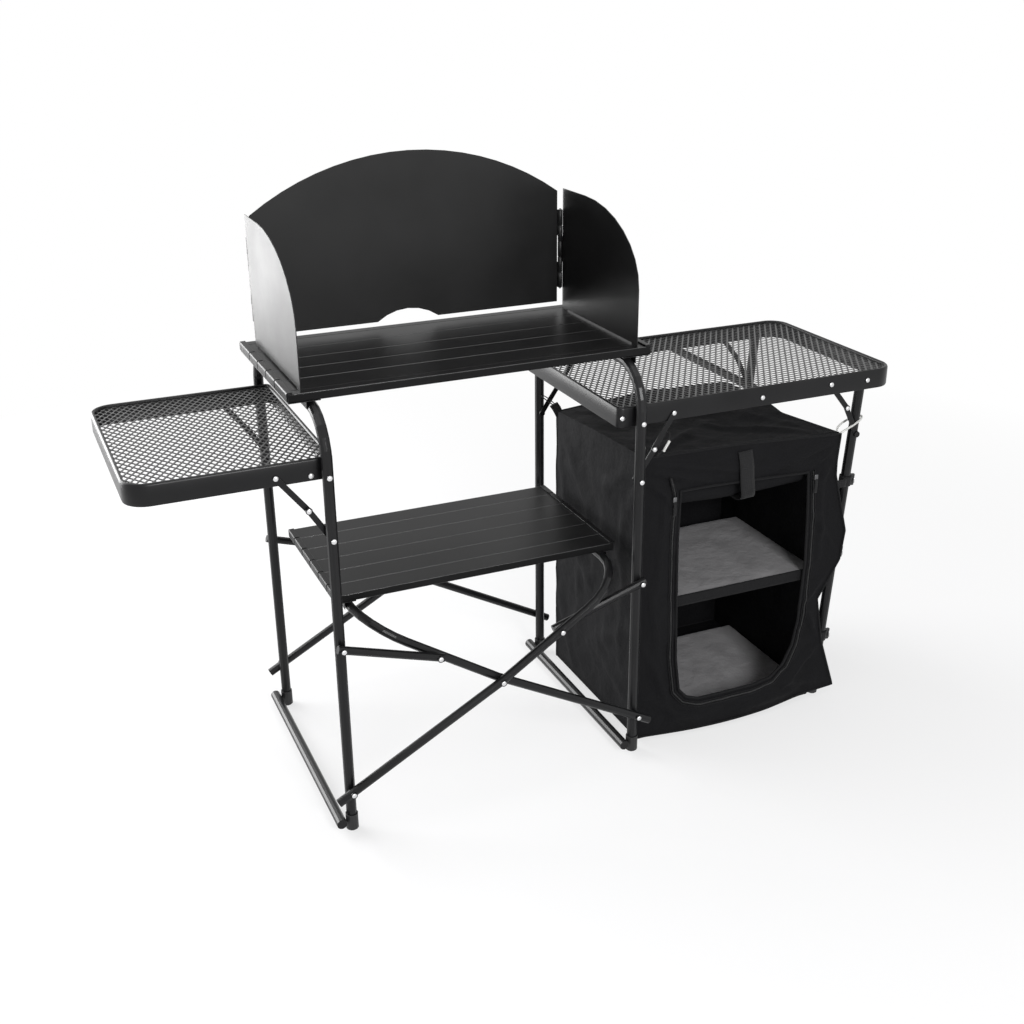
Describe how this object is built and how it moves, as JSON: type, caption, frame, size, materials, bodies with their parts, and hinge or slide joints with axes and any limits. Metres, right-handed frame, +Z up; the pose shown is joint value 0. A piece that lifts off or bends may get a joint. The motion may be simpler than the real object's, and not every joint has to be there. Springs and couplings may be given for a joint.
{
  "type": "folding camp table",
  "caption": "Folding camp kitchen table with a slatted top, a lower shelf, mesh side tables, a windscreen and a hanging fabric cabinet.",
  "frame": {"origin": "bottom centre of the opened table's bounding box, on the ground", "axes": "+X from the small side table towards the cabinet, +Y from the open front towards the windscreen's back panel, +Z up"},
  "size_m": [1.452, 0.5192, 1.118],
  "materials": {
    "powder_coat": "satin black powder coat",
    "boards": "satin black powder coat on aluminium boards",
    "mesh": "satin black powder coat on expanded mesh",
    "feet": "fine matte black",
    "fabric": "tight black polyester weave",
    "pins": "drawn wire"
  },
  "bodies": {
    "left_frame": {"left_end_frame": "powder_coat", "left_floor_bar": "powder_coat", "left_front_foot": "feet", "left_rear_foot": "feet"},
    "outer_scissor": {"outer_scissor_tube": "powder_coat"},
    "inner_scissor": {"inner_scissor_tube": "powder_coat"},
    "right_frame": {"right_end_frame": "powder_coat", "right_floor_bar": "powder_coat", "right_front_foot": "feet", "right_rear_foot": "feet", "cabinet_shell": "fabric", "cabinet_middle_shelf": "fabric", "cabinet_door_strap": "fabric"},
    "lower_shelf": {"lower_shelf_slat_1": "boards", "lower_shelf_slat_2": "boards", "lower_shelf_slat_3": "boards", "lower_shelf_slat_4": "boards", "lower_shelf_slat_5": "boards", "lower_shelf_slat_6": "boards", "lower_shelf_left_rail": "powder_coat", "lower_shelf_right_rail": "powder_coat"},
    "left_links": {"left_link_front": "powder_coat", "left_link_rear": "powder_coat"},
    "right_links": {"right_link_front": "powder_coat", "right_link_rear": "powder_coat"},
    "main_top": {"main_top_slat_1": "boards", "main_top_slat_2": "boards", "main_top_slat_3": "boards", "main_top_slat_4": "boards", "main_top_slat_5": "boards", "main_top_left_rail": "powder_coat", "main_top_right_rail": "powder_coat"},
    "windscreen": {"windscreen_back": "powder_coat", "windscreen_left_pin": "pins", "windscreen_right_pin": "pins"},
    "left_wing": {"windscreen_left_wing": "powder_coat"},
    "right_wing": {"windscreen_right_wing": "powder_coat"},
    "left_table": {"left_table_rim": "powder_coat", "left_table_mesh": "mesh"},
    "left_upper_braces": {"left_upper_brace_front": "powder_coat", "left_upper_brace_rear": "powder_coat"},
    "left_lower_braces": {"left_lower_brace_front": "powder_coat", "left_lower_brace_rear": "powder_coat"},
    "right_table": {"right_table_rim": "powder_coat", "right_table_mesh": "mesh", "right_table_crossbar": "powder_coat"},
    "right_upper_braces": {"right_upper_brace_front": "powder_coat", "right_upper_brace_rear": "powder_coat"},
    "right_lower_braces": {"right_lower_brace_front": "powder_coat", "right_lower_brace_rear": "powder_coat"},
    "outer_leg": {"outer_leg_frame": "powder_coat", "outer_front_foot": "feet", "outer_rear_foot": "feet", "cabinet_tie_1": "fabric", "cabinet_tie_2": "fabric", "cabinet_tie_3": "fabric"},
    "outer_upper_braces": {"outer_upper_brace_front": "powder_coat", "outer_upper_brace_rear": "powder_coat"},
    "outer_lower_braces": {"outer_lower_brace_front": "powder_coat", "outer_lower_brace_rear": "powder_coat"}
  },
  "joints": [
    {"name": "frame_fold", "type": "hinge", "parent": "left_frame", "child": "outer_scissor", "pos_m": [-0.413, 0, 0.085], "axis": [0, -1, 0], "range_deg": [0, 30]},
    {"name": "inner_scissor_pivot", "type": "hinge", "parent": "outer_scissor", "child": "inner_scissor", "pos_m": [-0.126, 0, 0.241], "axis": [0, -1, 0], "range_deg": [-60, 0]},
    {"name": "right_frame_pivot", "type": "hinge", "parent": "inner_scissor", "child": "right_frame", "pos_m": [0.161, 0, 0.085], "axis": [0, -1, 0], "range_deg": [0, 30]},
    {"name": "lower_shelf_pivot", "type": "hinge", "parent": "inner_scissor", "child": "lower_shelf", "pos_m": [-0.371, 0, 0.4], "axis": [0, -1, 0], "range_deg": [0, 30]},
    {"name": "left_link_pivot", "type": "hinge", "parent": "left_frame", "child": "left_links", "pos_m": [-0.413, 0, 0.37], "axis": [0, -1, 0], "range_deg": [0, 67]},
    {"name": "right_link_pivot", "type": "hinge", "parent": "right_frame", "child": "right_links", "pos_m": [0.161, 0, 0.37], "axis": [0, -1, 0], "range_deg": [-67, 0]},
    {"name": "left_table_fold", "type": "hinge", "parent": "left_frame", "child": "left_table", "pos_m": [-0.413, 0, 0.676], "axis": [0, -1, 0], "range_deg": [0, 90]},
    {"name": "left_upper_brace_pivot", "type": "hinge", "parent": "left_table", "child": "left_upper_braces", "pos_m": [-0.493, 0, 0.679], "axis": [0, -1, 0], "range_deg": [-79, 0]},
    {"name": "left_lower_brace_pivot", "type": "hinge", "parent": "left_frame", "child": "left_lower_braces", "pos_m": [-0.413, 0, 0.566], "axis": [0, -1, 0], "range_deg": [-143, 0]},
    {"name": "right_table_fold", "type": "hinge", "parent": "right_frame", "child": "right_table", "pos_m": [0.161, 0, 0.676], "axis": [0, -1, 0], "range_deg": [-40, 0], "deforming": ["cabinet_shell", "cabinet_middle_shelf", "cabinet_door_strap"]},
    {"name": "right_upper_brace_pivot", "type": "hinge", "parent": "right_table", "child": "right_upper_braces", "pos_m": [0.236, 0, 0.679], "axis": [0, -1, 0], "range_deg": [-14.5, 0]},
    {"name": "right_lower_brace_pivot", "type": "hinge", "parent": "right_frame", "child": "right_lower_braces", "pos_m": [0.161, 0, 0.566], "axis": [0, -1, 0], "range_deg": [0, 48]},
    {"name": "outer_leg_pivot", "type": "hinge", "parent": "right_table", "child": "outer_leg", "pos_m": [0.659, 0, 0.684], "axis": [0, -1, 0], "range_deg": [-82, 0]},
    {"name": "outer_upper_brace_pivot", "type": "hinge", "parent": "right_table", "child": "outer_upper_braces", "pos_m": [0.576, 0, 0.686], "axis": [0, -1, 0], "range_deg": [-42.3, 0]},
    {"name": "outer_lower_brace_pivot", "type": "hinge", "parent": "outer_leg", "child": "outer_lower_braces", "pos_m": [0.65094, 0, 0.57369], "axis": [0, -1, 0], "range_deg": [-103.4, 0]},
    {"name": "top_lift", "type": "slide", "parent": "left_frame", "child": "main_top", "axis": [0, 0, 1], "range_m": [0, 0.12]},
    {"name": "windscreen_lift", "type": "slide", "parent": "main_top", "child": "windscreen", "axis": [0, 0, 1], "range_m": [0, 0.12]},
    {"name": "left_wing_fold", "type": "hinge", "parent": "windscreen", "child": "left_wing", "pos_m": [-0.426, 0.1465, 0.7985], "axis": [0, 0, 1], "range_deg": [0, 88]},
    {"name": "right_wing_fold", "type": "hinge", "parent": "windscreen", "child": "right_wing", "pos_m": [0.174, 0.1465, 0.7985], "axis": [0, 0, -1], "range_deg": [0, 80]}
  ],
  "couplings": [
    {"joint": "inner_scissor_pivot", "follows": "frame_fold", "ratio": -2},
    {"joint": "right_frame_pivot", "follows": "frame_fold", "ratio": 1},
    {"joint": "lower_shelf_pivot", "follows": "frame_fold", "ratio": 1},
    {"joint": "left_link_pivot", "follows": "frame_fold", "ratio": 2.22},
    {"joint": "right_link_pivot", "follows": "frame_fold", "ratio": -2.22},
    {"joint": "left_upper_brace_pivot", "follows": "left_table_fold", "ratio": -0.8731},
    {"joint": "left_lower_brace_pivot", "follows": "left_table_fold", "ratio": -1.5866},
    {"joint": "right_upper_brace_pivot", "follows": "right_table_fold", "ratio": 0.353},
    {"joint": "right_lower_brace_pivot", "follows": "right_table_fold", "ratio": -1.196},
    {"joint": "outer_leg_pivot", "follows": "right_table_fold", "ratio": 2.05},
    {"joint": "outer_upper_brace_pivot", "follows": "right_table_fold", "ratio": 1.0565},
    {"joint": "outer_lower_brace_pivot", "follows": "right_table_fold", "ratio": 2.5842}
  ]
}
